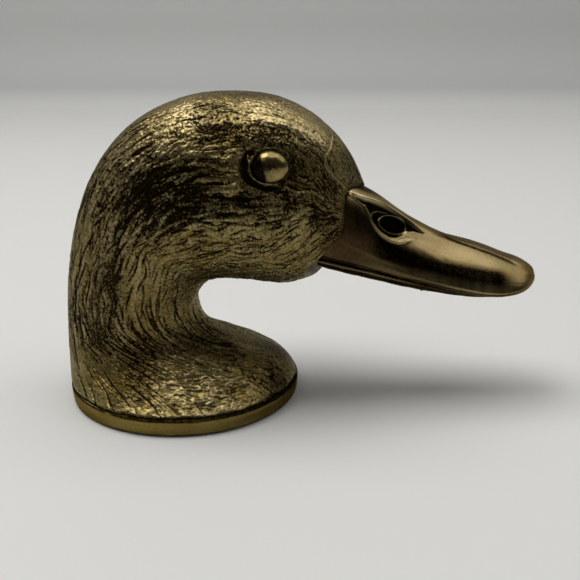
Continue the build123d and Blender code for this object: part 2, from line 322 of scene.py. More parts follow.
# and there the face narrows down to the bill: angle round the face, place in the reference view
EDGE = ((26, 351, 190.5), (40, 347.5, 195.5), (55, 345.5, 203), (72, 345, 214), (90, 345, 224), (105, 342.5, 233),
        (120, 336.5, 241), (134, 328.5, 248.5), (146, 321, 255.5))
near = np.where((onside > 0) & (B0[..., 1] < -0.3), 0.0, 1e6)
ring_a, ring_p = [0.0, 13.0], [(46.3, 0.0, 55.15), (45.3, -2.2, 55.35)]
for a, x, y in EDGE:
    i, j = np.unravel_index(np.argmin((bx - x) ** 2 + (by - y) ** 2 + near), bshape)
    ring_a.append(a)
    ring_p.append(B0[i, j] + 0.15 * BN[i, j])
for a in (163.0, 180.0):
    q = head_points(np.array(1.0), np.array(math.radians(a)))
    ring_a.append(a)
    ring_p.append((q[0], -abs(q[1]), q[2]))
ring = cubic(ring_a, np.array(ring_p))(deg)
ring[:, 1] = np.where(th < np.pi, 1.0, -1.0) * np.abs(ring[:, 1])
for m in range(3):
    ring[:, m] = blur(np.repeat(ring[None, :, m], 2, 0), 1, 5)[0]
S = np.concatenate([np.zeros((1, NV)), np.cumsum(np.linalg.norm(np.diff(P0, axis=0), axis=2), 0)], 0)
to_edge = S[-1:] - S
P0 = P0 + (1 - smooth(0.0, 12.0, to_edge))[..., None] * (ring - P0[-1])[None]
N0 = grid_normals(P0)
px, py = picture(P0)
dU = np.linalg.norm(np.gradient(P0, axis=0), axis=2)
dV = np.linalg.norm((np.roll(P0, -1, 1) - np.roll(P0, 1, 1)) / 2, axis=2)
S = np.concatenate([np.zeros((1, NV)), np.cumsum(np.linalg.norm(np.diff(P0, axis=0), axis=2), 0)], 0)
to_edge = S[-1:] - S
AREA = dU * dV
stn = np.interp(U, KNOT, np.arange(len(HEAD)))       # station number, 0 at the base to 20 at the face
front = smooth(math.radians(70), math.radians(150), around)[None, :] * np.ones((NU, 1))
seen = (P0[..., 2] > 40) * 1.0
low_part = (P0[..., 2] < 32) * 1.0


def blob(x0, y0, rx, ry, power=2.0, turn=0.0):
    """Soft oval patch in the reference view, the same on both sides of the head."""
    ca_, sa_ = math.cos(turn), math.sin(turn)
    dx, dy = px - x0, py - y0
    return np.exp(-(((dx * ca_ + dy * sa_) / rx) ** 2 + ((dy * ca_ - dx * sa_) / ry) ** 2) ** (power / 2))


# ------------------------------------------------------------------ the casting: chased feathers
rng = np.random.default_rng(20)
shape = (NU, NV)


def tex(sr, sc):
    """Seeded noise, its scale in cells of 0.2 mm or so."""
    return grain(rng, shape, sr * NU / 760, sc * NV / 600)


drift = 0.55 * tex(36, 24) + 0.26 * tex(13, 9)       # shared sideways wander, mm
patch = np.exp(0.5 * tex(44, 28))
# strokes sweep to the front going down the breast, and rise towards the mouth on the cheek
sweep_fwd = 0.85 * (1 - smooth(3.0, 9.5, stn)) * np.sin(np.minimum(around, np.pi - 0.25))[None, :] ** 0.7
sweep_fwd = sweep_fwd + 0.55 * blob(305, 245, 50, 34, 3.0) * seen - 0.20 * blob(335, 155, 26, 36, 3.0) * seen
to_front = np.where(th < np.pi, 1.0, -1.0)           # which way round is towards the front
G = np.zeros(shape)                                  # depth of the cuts, mm
RIDGE = np.zeros(shape)                              # height of the raised hairs, mm


def strokes(into, n, prob, length, width, depth, lean=0.0, sway=0.0, sharp=1.15):
    p = (prob * patch * AREA).ravel()
    pick = rng.choice(p.size, size=n, p=p / p.sum())
    for q in pick:
        i0, j0 = divmod(int(q), NV)
        L, w, d = rng.uniform(*length), rng.uniform(*width), rng.uniform(*depth)
        col = S[:, j0]
        a, b = np.searchsorted(col, col[i0] - L / 2), np.searchsorted(col, col[i0] + L / 2)
        rows = np.arange(max(a, 0), min(b, NU - 1) + 1)
        if len(rows) < 3:
            continue
        t = (col[rows] - col[rows[0]]) / max(col[rows[-1]] - col[rows[0]], 1e-6)
        dv = dV[rows, j0]
        off = drift[rows, j0] - drift[i0, j0] + rng.normal(0, lean) * L * (t - 0.5)
        off = off + to_front[j0] * sweep_fwd[i0, j0] * (col[i0] - col[rows])
        off = off + sway * rng.uniform(0.3, 1.0) * np.sin(2 * np.pi * (rng.uniform(0.3, 0.9) * t + rng.uniform()))
        jc = j0 + off / dv
        wt = w * (0.75 + 0.5 * np.interp(t, np.linspace(0, 1, 4), rng.uniform(0, 1, 4)))
        k = min(int(np.ceil(2.4 * w / dv.min())) + 1, 20)
        cols = np.rint(jc).astype(int)[:, None] + np.arange(-k, k + 1)
        x = (cols - jc[:, None]) * dv[:, None] / wt[:, None]
        ends = np.sin(np.pi * np.clip(t, 0.03, 0.97)) ** 0.6
        v = d * ends[:, None] * np.exp(-(np.abs(x) * sharp) ** 1.9)
        c = cols % NV
        into[rows[:, None], c] = np.maximum(into[rows[:, None], c], v)


on_head = smooth(10.5, 13.0, stn)
on_neck = smooth(5.0, 7.5, stn) * (1 - smooth(11.0, 13.5, stn))
on_breast = 1 - smooth(5.5, 8.0, stn)
crown = smooth(math.radians(78), math.radians(38), around)[None, :] * on_head
temple = np.clip(blob(184, 187, 66, 36, 3.0, math.radians(-8)), 0, 1) * seen
brow_hair = np.clip(blob(322, 140, 34, 30, 3.0), 0, 1) * seen
upper = np.clip(blob(243, 134, 56, 14, 3.0, math.radians(3)), 0, 1) * seen          # mottled band above the eye
behind_eye = np.clip(blob(230, 168, 11, 24, 3.0), 0, 1) * seen
flank = np.clip(blob(122, 378, 46, 42, 3.0), 0, 1) * low_part
combed = temple * (1 - 0.85 * behind_eye) * (1 - 0.6 * upper)
edge = smooth(0.0, 0.8, stn)
strokes(G, 3000, crown, (0.5, 1.9), (0.13, 0.26), (0.07, 0.18), 0.30, 0.1)
strokes(G, 420, crown * (1 - 0.7 * upper), (1.8, 5.0), (0.16, 0.32), (0.07, 0.17), 0.16, 0.25)
strokes(G, 260, combed, (4.0, 11.0), (0.32, 0.62), (0.14, 0.32), 0.08, 0.6)
strokes(G, 200, combed, (4.0, 10.0), (0.16, 0.28), (0.12, 0.26), 0.06, 0.45)
strokes(RIDGE, 330, combed, (4.0, 11.0), (0.24, 0.42), (0.12, 0.28), 0.08, 0.6)
strokes(G, 260, combed, (1.0, 3.0), (0.20, 0.36), (0.08, 0.18), 0.2, 0.15)
strokes(G, 1800, on_head * (1 - 0.8 * crown) * (1 - 0.5 * temple) * (1 - 0.6 * upper), (1.4, 5.0), (0.18, 0.36), (0.08, 0.25), 0.12, 0.35)
strokes(G, 1700, on_head * (1 - 0.8 * crown) * (1 - 0.5 * temple), (0.4, 1.2), (0.14, 0.25), (0.05, 0.14), 0.4, 0.05)
strokes(G, 420, on_head * (1 - 0.7 * crown) * (1 - 0.5 * temple) * (1 - 0.8 * upper) * (1 - 0.8 * behind_eye), (2.4, 6.0), (0.22, 0.42), (0.10, 0.24), 0.09, 0.35)
strokes(RIDGE, 260, brow_hair, (2.0, 6.0), (0.13, 0.20), (0.04, 0.10), 0.10, 0.3)
nape = smooth(math.radians(108), math.radians(62), around)[None, :] * np.ones((NU, 1))
strokes(G, 320, on_neck * (0.2 + nape), (5.0, 14.0), (0.26, 0.54), (0.15, 0.34), 0.05, 0.7)
strokes(G, 500, on_neck * (0.6 + 0.4 * nape), (3.0, 9.0), (0.20, 0.42), (0.11, 0.28), 0.08, 0.4)
strokes(G, 800, on_neck, (0.6, 2.2), (0.14, 0.26), (0.05, 0.14), 0.2, 0.1)
strokes(RIDGE, 360, on_neck * (0.2 + nape), (4.0, 12.0), (0.24, 0.42), (0.08, 0.18), 0.06, 0.6)
# bright crumpled patch low on the breast: crumpled relief and a painted highlight
crumple_and_painted_highlight = np.clip(blob(203, 386, 54, 26, 3.4, math.radians(10)), 0, 1) * low_part
strokes(G, 110, on_breast * edge * (1 - 0.75 * front) * (1 - 0.70 * crumple_and_painted_highlight), (5.0, 13.0), (0.22, 0.44), (0.16, 0.36), 0.10, 0.9)
strokes(G, 520, on_breast * edge * (0.07 + front) * (1 - 0.93 * crumple_and_painted_highlight), (3.0, 10.0), (0.12, 0.22), (0.08, 0.17), 0.04, 0.25)
strokes(G, 360, on_breast * edge * (1 - 0.8 * crumple_and_painted_highlight) * (1 - 0.6 * flank), (1.4, 4.5), (0.16, 0.30), (0.08, 0.19), 0.22, 0.3)
strokes(G, 1000, on_breast * edge * (1 - 0.3 * flank), (0.3, 1.1), (0.12, 0.22), (0.08, 0.18), 0.6, 0.1)
strokes(G, 620, upper, (0.4, 1.4), (0.16, 0.36), (0.10, 0.26), 0.9, 0.1)
strokes(G, 300, behind_eye, (0.3, 0.9), (0.12, 0.22), (0.08, 0.20), 0.8, 0.05)
brow_streak = np.clip(blob(284, 116, 40, 13, 3.0, math.radians(16)), 0, 1) * seen
main_rng, rng = rng, np.random.default_rng(77)
strokes(RIDGE, 260, brow_streak, (1.5, 5.0), (0.12, 0.19), (0.05, 0.12), 0.10, 0.2)
strokes(G, 200, brow_streak, (0.5, 2.2), (0.12, 0.18), (0.06, 0.12), 0.20, 0.1)
rng = main_rng

spine = smooth(math.radians(25), math.radians(7), around)[None, :] * (1 - smooth(15.6, 17.2, stn)) * smooth(0.3, 0.9, stn)
keel = smooth(math.radians(156), math.radians(174), around)[None, :] * smooth(0.3, 0.9, stn) * (1 - smooth(4.5, 7.0, stn))
# broad locks, wrinkles and the grain of the casting
lock = tex(32, 6.0)
lock2 = tex(12, 3.0)
grit = tex(0.75, 0.75)
sand = tex(1.3, 1.1)
sand2 = tex(3.4, 2.2)
lump = tex(7, 7)
crumple = np.abs(tex(4.6, 5.4)) + 0.7 * np.abs(tex(2.1, 2.5))
blotch = tex(8, 6)
pits = np.clip(sand - 0.9, 0, 1.4)
rough_area = 0.9 + 0.35 * crown - 0.15 * temple - 0.05 * front * on_breast - 0.25 * brow_hair - 0.40 * flank
fine_relief = rough_area * (0.024 * grit + 0.036 * sand + 0.018 * sand2 - 0.04 * pits) + 0.030 * lump - 0.25 * crumple_and_painted_highlight * crumple
broad = 0.08 * lock * (0.35 + 0.65 * on_neck + 0.6 * temple) + 0.06 * lock2 * (0.5 + 0.8 * temple)
chased = -G * (1 - 0.75 * crumple_and_painted_highlight) + RIDGE + fine_relief + 0.5 * broad
H = 0.5 * broad

# ------------------------------------------------------------------ the casting: eye sockets, brow, cheek, seams
patina_and_painted_shade = np.zeros(shape)
rub_and_painted_highlight = np.zeros(shape)                                # rubbed edges and painted highlights, drawn bright
calm = np.maximum(0.72 * spine, 0.75 * keel)         # where the chasing is rubbed out
ex, ey = (px - 270.5) / 20.3, (py - 167.0) / 16.4
d_eye = (np.abs(ex) ** 2.2 + np.abs(ey) ** 2.2) ** (1 / 2.2)
ang = np.degrees(np.arctan2(ey, ex)) % 360           # 0 forward, 90 down, 180 back, 270 up
low_lid = smooth(70, 100, ang) * (1 - smooth(210, 219, ang))
orbit = np.clip(blob(281, 168, 42, 26, 3.2) * smooth(236, 244, px), 0, 1) * seen
bowl = (1 - smooth(0.72, 1.0, d_eye)) * seen
moat = np.exp(-((d_eye - 1.33 + 0.035 * sand2) / 0.22) ** 4) * seen * smooth(60, 90, ang) * (1 - smooth(215, 250, ang))
lid = np.exp(-((d_eye - 1.04 - 0.25 * smooth(188, 216, ang) * (1 - smooth(216, 230, ang))) / 0.034) ** 2) * seen
lid_up = np.exp(-((d_eye - 1.16) / 0.032) ** 2) * seen * smooth(222, 240, ang) * (1 - smooth(310, 340, ang))
over = np.exp(-((d_eye - 1.12) / 0.10) ** 2) * seen * smooth(225, 250, ang) * (1 - smooth(320, 350, ang))
H += -0.75 * orbit - 1.1 * bowl - 0.46 * moat + 0.34 * lid * low_lid + 0.16 * over + 0.08 * lid_up
calm = np.maximum(calm, np.clip(bowl + 0.8 * moat + lid + lid_up + 0.15 * orbit, 0, 1))
patina_and_painted_shade = np.maximum(patina_and_painted_shade, np.clip(1.3 * bowl + 0.97 * moat + (0.89 + 0.17 * sand2 + 0.08 * sand) * orbit, 0, 1.3))
ring_up = np.exp(-((d_eye - 1.12) / 0.17) ** 4) * seen * np.clip(smooth(205, 235, ang) + (1 - smooth(60, 90, ang)), 0, 1)
patina_and_painted_shade = np.maximum(patina_and_painted_shade, (1.02 + 0.12 * sand2) * ring_up)
patina_and_painted_shade *= 1 - 0.9 * lid * low_lid - 0.15 * over - 0.5 * lid_up
rub_and_painted_highlight = np.maximum(rub_and_painted_highlight, 0.9 * lid * low_lid + 0.05 * over + 0.25 * lid_up)
# hollows and small folds in front of and below the eye
for x0, y0, rx, ry, dep in ((297, 171, 7, 5, 0.40), (307, 176, 7, 5, 0.36), (296, 186, 8, 4, 0.26), (316, 168, 5, 8, 0.30), (303, 163, 6, 5, 0.30),
                            (262, 192, 10, 3, 0.26), (282, 193, 9, 3, 0.20), (240, 196.5, 16, 1.8, 0.22), (236, 210, 9, 11, 0.10),
                            (326, 249, 6, 3, 0.3), (333, 244, 4, 4, 0.2)):
    f = blob(x0, y0, rx, ry) * seen
    H += -dep * f
    patina_and_painted_shade = np.maximum(patina_and_painted_shade, 2.7 * dep * f)
rear = (blob(230.5, 162, 6.5, 17, 2.6, 0.10) + blob(236, 187, 6, 8, 2.4)) * seen
H += 0.60 * rear
rub_and_painted_highlight = np.maximum(rub_and_painted_highlight, 0.42 * np.clip(rear, 0, 1))
brow = np.exp(-((py - (140 + 0.16 * (px - 262))) / 7.5) ** 2 - ((px - 276) / 36) ** 2) * seen
H += 0.55 * brow
cheek = np.exp(-((px - 255) / 46) ** 2 - ((py - 226) / 30) ** 2) * seen
H += 0.5 * cheek
lores = np.exp(-((px - 316) / 17) ** 2 - ((py - 186) / 20) ** 2) * seen
H += -0.35 * lores
patina_and_painted_shade = np.maximum(patina_and_painted_shade, 0.40 * lores)
brow_y = py - np.interp(px, [180, 196, 220, 248, 272, 284, 296, 308, 318, 328, 340], [117, 120, 122.5, 121.5, 125, 128, 133, 139, 145, 152, 160])
brow_in = (0.60 * smooth(186, 200, px) + 0.40 * smooth(206, 232, px)) * (1 - smooth(322, 336, px)) * seen
under_brow = smooth(-1.5, 3.5, brow_y) * (1 - smooth(20, 34, brow_y)) * brow_in
# painted highlight: a bright streak along the brow
brow_painted_highlight = np.exp(-((brow_y + 6.0) / 5.0) ** 2) * smooth(246, 264, px) * (1 - smooth(316, 330, px)) * seen
above_brow = smooth(-11, -17, brow_y) * smooth(268, 286, px) * (1 - smooth(326, 340, px)) * seen
H += 0.40 * np.exp(-((brow_y + 3.5) / 4.5) ** 2) * smooth(240, 262, px) * (1 - smooth(316, 330, px)) * seen
calm = np.maximum(calm, 0.55 * above_brow)
# raised parting line down the forehead to the bill
d_part, along = to_line(px, py, [(331.5, 128), (333, 139), (331, 148), (325.8, 157), (325.3, 164.5), (329.8, 170.8), (336.8, 179.3),
                                 (344, 187), (350, 193.6), (360, 203)])
part_line = np.exp(-(d_part / 0.48) ** 2) * seen * smooth(0.0, 0.10, along)
H += 0.16 * part_line
rub_and_painted_highlight = np.maximum(rub_and_painted_highlight, 0.50 * part_line)
calm = np.maximum(calm, 0.6 * np.exp(-(d_part / 2.6) ** 2) * seen)
shade_e = np.maximum(0.70 * blob(278, 196, 40, 13, 2.6), np.maximum(0.52 * blob(309, 159, 19, 15, 2.6), 0.66 * blob(303, 177, 15, 17, 2.6))) * seen
calm = np.maximum(calm, 0.45 * blob(309, 159, 19, 15, 2.6) * seen)
# smooth bevel of the chin under the corner of the mouth
chin = blob(319, 267, 15, 6.5, 3.0, math.radians(-24)) * smooth(15.5, 17.5, stn)
calm = np.maximum(calm, 0.8 * np.clip(chin * 1.3, 0, 1))
patina_and_painted_shade = np.maximum(patina_and_painted_shade, 0.84 * np.clip(chin * 1.2, 0, 1))
# the feathers stop at the bill; painted shade darkens the corner
calm = np.maximum(calm, 0.75 * smooth(3.2, 0.3, to_edge))
calm = np.maximum(calm, 0.65 * blob(352, 168, 15, 30, 2.6, math.radians(-24)) * seen)
patina_and_painted_shade = np.maximum(patina_and_painted_shade, 1.05 * smooth(1.6, 0.15, to_edge))
patina_and_painted_shade = np.maximum(patina_and_painted_shade, 0.78 * smooth(4.2, 0.4, to_edge))
# dark patina where it was never rubbed, with painted shade and painted dark reflection laid over it: temples, throat,
# front of the breast, foot of the nape
wander = 0.8 + 0.35 * np.tanh(tex(22, 14))
shade = 0.52 * blob(181, 187, 55, 26, 2.6, math.radians(-12)) * seen
# painted highlight along the back of the nape
nape_painted_highlight = blob(113, 174, 38, 14, 2.6, math.radians(-56)) * seen
# darker under the brow: patina and painted shade
shade = np.maximum(shade, np.maximum((0.64 + 0.04 * (1 - smooth(228, 262, px))) * under_brow, 0.12 * above_brow))
shade = np.maximum(shade, 0.32 * blob(216, 111, 26, 13, 2.6) * seen)
shade = np.maximum(shade, 0.52 * blob(232, 204, 58, 18, 2.6) * seen)
shade = np.maximum(shade, 0.68 * blob(210, 198, 26, 12, 2.6) * seen)
shade = np.maximum(shade, 0.60 * blob(324, 204, 24, 42, 2.6) * seen)
shade = np.maximum(shade, 0.46 * blob(354, 166, 14, 28, 2.6, math.radians(-24)) * seen)
# painted dark reflection along the back and front midlines
shade = np.maximum(shade, np.maximum(0.44 * spine, 0.46 * keel))
shade = np.maximum(shade, 0.98 * blob(277, 401, 22, 10, 3.0, math.radians(-30)) * low_part)
shade = np.maximum(shade, 0.40 * blob(272, 380, 18, 18, 2.6, math.radians(-30)) * low_part)
shade = np.maximum(shade, 0.14 * blob(84, 330, 14, 70, 2.6))
shade = np.maximum(shade, 0.60 * blob(106, 288, 19, 58, 2.6, math.radians(6)))
shade = np.maximum(shade, 0.20 * blob(108, 208, 13, 26, 2.6) * seen)
shade = np.maximum(shade, shade_e)
shade = np.maximum(shade, 0.60 * blob(286, 140, 32, 12, 2.6, math.radians(10)) * under_brow)
shade = np.maximum(shade, 0.48 * blob(140, 374, 22, 32, 2.6) * low_part)
shade = np.clip(shade * wander, 0, 0.95)
# painted shade in the dark corner at the front end of the breast, near the base
patina_and_painted_shade = np.maximum(patina_and_painted_shade, 1.10 * blob(277, 399, 21, 11, 3.0, math.radians(-30)) * low_part)
patina_and_painted_shade = np.maximum(patina_and_painted_shade, 0.74 * blob(276, 384, 15, 13, 2.8, math.radians(-20)) * low_part)
# brown drift low on the neck and the side of the breast
warm = np.clip(0.9 * blob(138, 372, 30, 46, 2.6, math.radians(-16)) * low_part + 0.45 * blob(170, 320, 34, 40, 2.6) * wander + (0.75 * rear + 0.55 * blob(240, 136, 52, 14, 2.6) + 0.40 * blob(108, 206, 15, 30, 2.6)) * seen, 0, 1)
# seam groove at the base
seam = np.exp(-((stn - 0.12 - 0.03 * tex(3, 3)) / 0.14) ** 2)
H += -0.40 * seam
patina_and_painted_shade = np.maximum(patina_and_painted_shade, np.clip(1.5 * seam, 0, 1.3))

H += chased * (1 - 0.9 * np.clip(calm, 0, 1))
P1 = P0 + N0 * H[..., None]

low = blur(H, 6.3, 4.8) - H                          # positive in hollows
on_body = 1 - smooth(9.5, 13.0, stn)
fade = 1 - 0.6 * crumple_and_painted_highlight
neck_left = blob(102, 292, 22, 66, 2.6)
over_eye = blob(286, 140, 32, 13, 2.6, math.radians(10)) * seen
cut = smooth(0.015, 0.20, G * (1 - 0.9 * calm) * fade)
speck = np.clip(0.08 * sand + 0.12 * grit + 0.04 * sand2 + 0.2 * pits, -0.25, 0.5) * (1 - 0.85 * calm) * (1 + 1.2 * blob(113, 174, 38, 14, 2.6, math.radians(-56)) * seen + 1.0 * blob(108, 206, 15, 30, 2.6) * seen + 0.8 * front * on_breast)
# painted reflection of the lit floor: less dark under the jaw
jaw_painted_reflection = blob(222, 266, 48, 12, 2.6) * seen
dark = 0.21 + 0.72 * cut * (1 - np.clip(0.50 * neck_left + 0.25 * blob(212, 198, 28, 15, 2.6) * seen + 0.34 * blob(155, 285, 42, 52, 2.6) + 0.18 * blob(262, 232, 60, 34, 2.6) * seen + 0.50 * over_eye, 0, 0.6)) + 1.8 * np.clip(low - 0.01, 0, 1) + speck + shade + (0.06 - 0.02 * on_body) * blotch * (1 - calm)
# lighter under the jaw and in the painted highlights on the breast, nape and brow
dark = (dark + 0.06 * blob(260, 240, 56, 22, 2.6) * seen) * (1 - 0.33 * jaw_painted_reflection) * (1 - 0.36 * crumple_and_painted_highlight) * (1 - 0.30 * nape_painted_highlight) * (1 - 0.75 * brow_painted_highlight) * (1 - 0.24 * blob(245, 360, 30, 20, 2.6) * low_part)
dark = np.minimum(dark, 1.3 - np.maximum(0.39 * neck_left, 0.44 * blob(158, 285, 36, 52, 2.6)))
dark = np.clip(np.maximum(dark, patina_and_painted_shade) * (1 - 0.8 * np.clip(rub_and_painted_highlight, 0, 1)), 0, 1.3)
# rubbed raised spots, and painted highlights on the crown, the breast patch, the brow and the nape
wear_and_painted_highlight = np.clip(np.clip(-low / 0.09, 0, 1) * 0.7 * (1 - 0.5 * flank) + RIDGE / 0.14 * (1 - calm) * 0.7 * (1 - np.clip(0.6 * neck_left + (0.5 * blob(212, 198, 28, 15, 2.6) + 0.8 * blob(216, 165, 20, 28, 2.6)) * seen, 0, 0.85)) + 0.25 * crown + 0.62 * crumple_and_painted_highlight * np.clip(0.75 + 0.5 * tex(10, 14), 0.2, 1.1) + 0.9 * brow_painted_highlight + 0.30 * nape_painted_highlight + 0.4 * (blob(190, 113, 17, 17, 2.6) + blob(267, 112, 16, 13, 2.6)) * seen, 0, 1) * (1 - 0.45 * blob(220, 172, 22, 30, 2.6) * seen) * (1 - 0.8 * patina_and_painted_shade) * (1 - 0.6 * warm)
wear_and_painted_highlight = np.maximum(wear_and_painted_highlight, np.clip(rub_and_painted_highlight, 0, 1))
# painted highlights on the brow streak and on two spots of the crown
painted_highlight = np.clip(1.0 * brow_painted_highlight + 0.6 * brow_streak + (0.8 * blob(187, 116, 16, 13, 2.6) + 0.7 * blob(268, 109, 18, 10, 2.6)) * seen, 0, 1) * (1 - np.clip(patina_and_painted_shade, 0, 1)) * (1 - cut)

# close the face with a small lip that turns in behind the bill
tail = []
C = P1[-1].mean(0)
out_dir = np.array([21.0, 0.0, -9.1])
out_dir /= np.linalg.norm(out_dir)
for f, fwd in ((0.010, 0.06), (0.025, 0.10), (0.05, 0.06), (0.10, -0.12), (0.20, -0.5), (0.50, -0.9), (0.85, -0.9)):
    tail.append(P1[-1] + (C - P1[-1]) * f + out_dir * fwd)
tail = np.array(tail)
P1 = np.concatenate([P1, tail], 0)


def pad(a, v):
    return np.concatenate([a, np.broadcast_to(v, (len(tail), NV))], 0)


head = grid_object("feathered_head", P1, {"dark": pad(dark, np.maximum(dark[-1], 0.85)), "wear_and_painted_highlight": pad(wear_and_painted_highlight, 0.0), "warm": pad(warm, 0.0), "painted_highlight": pad(painted_highlight, 0.0)})

# ------------------------------------------------------------------ the bill: nostrils, rims, ridge
BH = np.zeros(bshape)
# the hollow that holds the nostril: an almond between two smooth rims
ytop = np.interp(bx, [350, 358, 371.4, 386.7, 402, 412.2, 423.5], [193.0, 197.2, 199.8, 205.8, 215.5, 222.7, 233.2])
ybot = np.interp(bx, [350, 358, 365.3, 369.8, 373.8, 380.6, 389.8, 396, 402, 407, 414, 423.5],
                 [194.0, 200.8, 206.5, 214.5, 224.0, 231.5, 237.0, 238.0, 236.0, 231.5, 231.0, 233.6])
inside = np.minimum((by - ytop) * 0.85, (ybot - by) * np.interp(bx, [358, 366, 376, 390], [0.7, 0.5, 0.5, 0.85]))
fossa = smooth(-0.9, 2.6, inside) * onside * ((bx > 349) & (bx < 424.5))
# nostril: oval ring with a dark centre
ca, sa = math.cos(math.radians(17)), math.sin(math.radians(17))
nx, ny = ((bx - 394) * ca + (by - 224) * sa) / 14.0, (-(bx - 394) * sa + (by - 224) * ca) / 9.0
d_n = np.sqrt(nx ** 2 + ny ** 2)
ring_n = np.exp(-((d_n - 1.0) / 0.070) ** 2) * onside * (1 - smooth(405, 410, bx))
glint = np.exp(-((d_n - 0.30) / 0.10) ** 2) * onside * smooth(-0.1, 0.25, ny)
inner = (1 - smooth(0.78, 0.94, d_n)) * onside
d_fold, al_fold = to_line(bx, by, [(372.5, 216.5), (374.5, 212), (379, 210.3), (386, 211.6), (394, 213.5)])
fold = np.exp(-(d_fold / 0.9) ** 2) * onside * (1 - smooth(0.75, 1.0, al_fold))
# small bumps with painted glints behind the nostril
fleck_bumps_and_painted_glints = np.clip(grain(np.random.default_rng(3), bshape, 2.2, 2.0), 0, 2) * np.exp(-(((bx - 407) / 5.5) ** 2 + ((by - 233.5) / 3.6) ** 2)) * onside
BH += -0.92 * fossa + 0.42 * ring_n + 0.16 * glint - 0.90 * inner + 0.22 * fold + 0.05 * fleck_bumps_and_painted_glints
d_low, al_low = to_line(bx, by, [(365, 206), (369, 213.5), (372.3, 221.5), (377, 229.5), (383.5, 236.3), (390.5, 240.8), (398.5, 242.6), (407, 241.6), (416, 239)])
low_rim = np.exp(-(d_low / 1.6) ** 2) * onside * (1 - smooth(0.80, 1.0, al_low))
crest_y = np.interp(bx, [346, 352, 360, 368, 376, 384, 392, 400, 408, 416], [193.5, 195, 197, 199, 201.2, 204.4, 209, 213.5, 218, 223])
s_up = by - crest_y
up_w = np.where(s_up < 0, np.interp(bx, [350, 364, 378, 410], [5.4, 5.0, 3.8, 2.6]), 1.2)
up_rim = np.exp(-(s_up / up_w) ** 2) * onside * smooth(346.5, 351, bx) * (1 - smooth(396, 416, bx))
d_pt, al_pt = to_line(bx, by, [(346, 190), (350, 193.6), (357, 200.2), (365, 206)])
part_tail = np.exp(-(d_pt / 0.7) ** 2) * onside
s_top = by - np.interp(bx, [434, 441, 450, 460, 470, 480, 490, 500, 510, 518], [230.5, 233.5, 238, 242, 245.3, 249, 252.4, 256.6, 261, 265])
ends = onside * smooth(434, 450, bx) * (1 - smooth(508, 520, bx))
top_line = np.exp(-(s_top / 1.5) ** 2) * ends
top_fade = np.exp(-(s_top / 6.0) ** 2) * (s_top > 0) * ends
top_strip = smooth(0.6, -0.6, s_top) * ends
BH += 0.34 * low_rim + np.interp(bx, [350, 366, 378, 400], [0.36, 0.34, 0.30, 0.22]) * up_rim + 0.22 * part_tail - 0.24 * top_line
BH += 0.12 * ((by - 240) / 8) * np.exp(-((bx - 424) / 15) ** 2 - ((by - 240) / 10) ** 2) * onside
brng = np.random.default_rng(5)
BH += 0.020 * grain(brng, bshape, 18, 12) + 0.006 * grain(brng, bshape, 6, 3) + 0.003 * grain(brng, bshape, 1.8, 1.2)
# painted dark reflection along the side of the bill, darker below it, and the browned root
band_top = np.interp(bx, [340, 366, 381, 398, 402, 422, 440, 465, 500, 512], [196, 214, 234, 244, 246, 253.5, 259.5, 264.5, 270, 276])
band_low = np.interp(bx, [340, 365, 381, 402, 440, 470, 500, 512], [240, 251, 258, 264.5, 273, 280, 284, 285])
side_painted_reflection = smooth(-4.0, 5.0, by - band_top) * (1 - smooth(-2.0, 8.0, by - band_low)) * onside * (1 - smooth(498, 520, bx))
streak = grain(brng, bshape, 26, 3)
bdark = np.clip(1.10 * fossa - 0.55 * ring_n - 0.45 * glint + 1.0 * inner - 0.45 * fold - 0.25 * fleck_bumps_and_painted_glints, 0, 1.25)
bdark = np.maximum(bdark, np.clip(0.92 * top_line + 0.34 * top_fade * (1 - top_line) + 0.26 * top_strip * (1 - top_line), 0, 1))
bdark = np.maximum(bdark, np.clip(side_painted_reflection * (0.97 + 0.03 * streak) * (0.62 + 0.38 * smooth(356, 390, bx)), 0, 0.985))
below = smooth(-2.0, 6.0, by - band_low)
bdark = np.maximum(bdark, np.clip((0.56 + 0.08 * streak) * below * onside * (1 - smooth(425, 500, bx)), 0, 1))
ridge_shade = smooth(402, 372, bx) * smooth(2.0, -2.0, by - np.interp(bx, [345, 349, 361, 371.4, 381.6, 391.8, 402], [185, 187, 190.5, 193.5, 198.0, 203.5, 210])) * onside
bdark = np.maximum(bdark, 0.95 * ridge_shade)
bdark = bdark + 0.10 * np.exp(-((bx - 438) / 26) ** 2 - ((by - 243) / 11) ** 2) + 0.18 * np.exp(-((bx - 508) / 13) ** 2 - ((by - 280) / 9) ** 2)
bdark = np.clip(bdark * (1 - 0.9 * low_rim) * (1 - 0.85 * up_rim) * (1 - 0.8 * part_tail), 0, 1.25)
root_side = smooth(402, 352, bx) * smooth(-10, 4, by - np.interp(bx, [345, 366, 380, 405], [200, 210, 233, 245]))
rootness = np.clip(np.maximum(root_side, 0.75 * side_painted_reflection * smooth(470, 380, bx)), 0, 1)
# painted highlights on the rims, the nostril ring, the flecks and the top near the tip
bill_painted_highlight = np.clip(0.9 * low_rim + 1.0 * up_rim + 0.3 * ring_n + 0.6 * part_tail + 0.2 * fleck_bumps_and_painted_glints + 0.7 * np.exp(-((bx - 486) / 22) ** 2 - ((by - 263) / 8) ** 2) * onside, 0, 1)
B1 = B0 + BN * BH[..., None]
bwarm = 0.75 * np.exp(-((by - band_top - 0.5) / 4.5) ** 2) * smooth(392, 416, bx) * (1 - smooth(500, 518, bx)) * onside
bwarm = np.clip(np.maximum(1.3 * bwarm, 0.6 * smooth(494, 512, bx) * smooth(262, 272, by)), 0, 1)
bdeep = np.clip(0.9 * fossa + inner - 1.3 * ring_n - 0.9 * glint - 1.1 * fold - 0.5 * fleck_bumps_and_painted_glints, 0, 1)
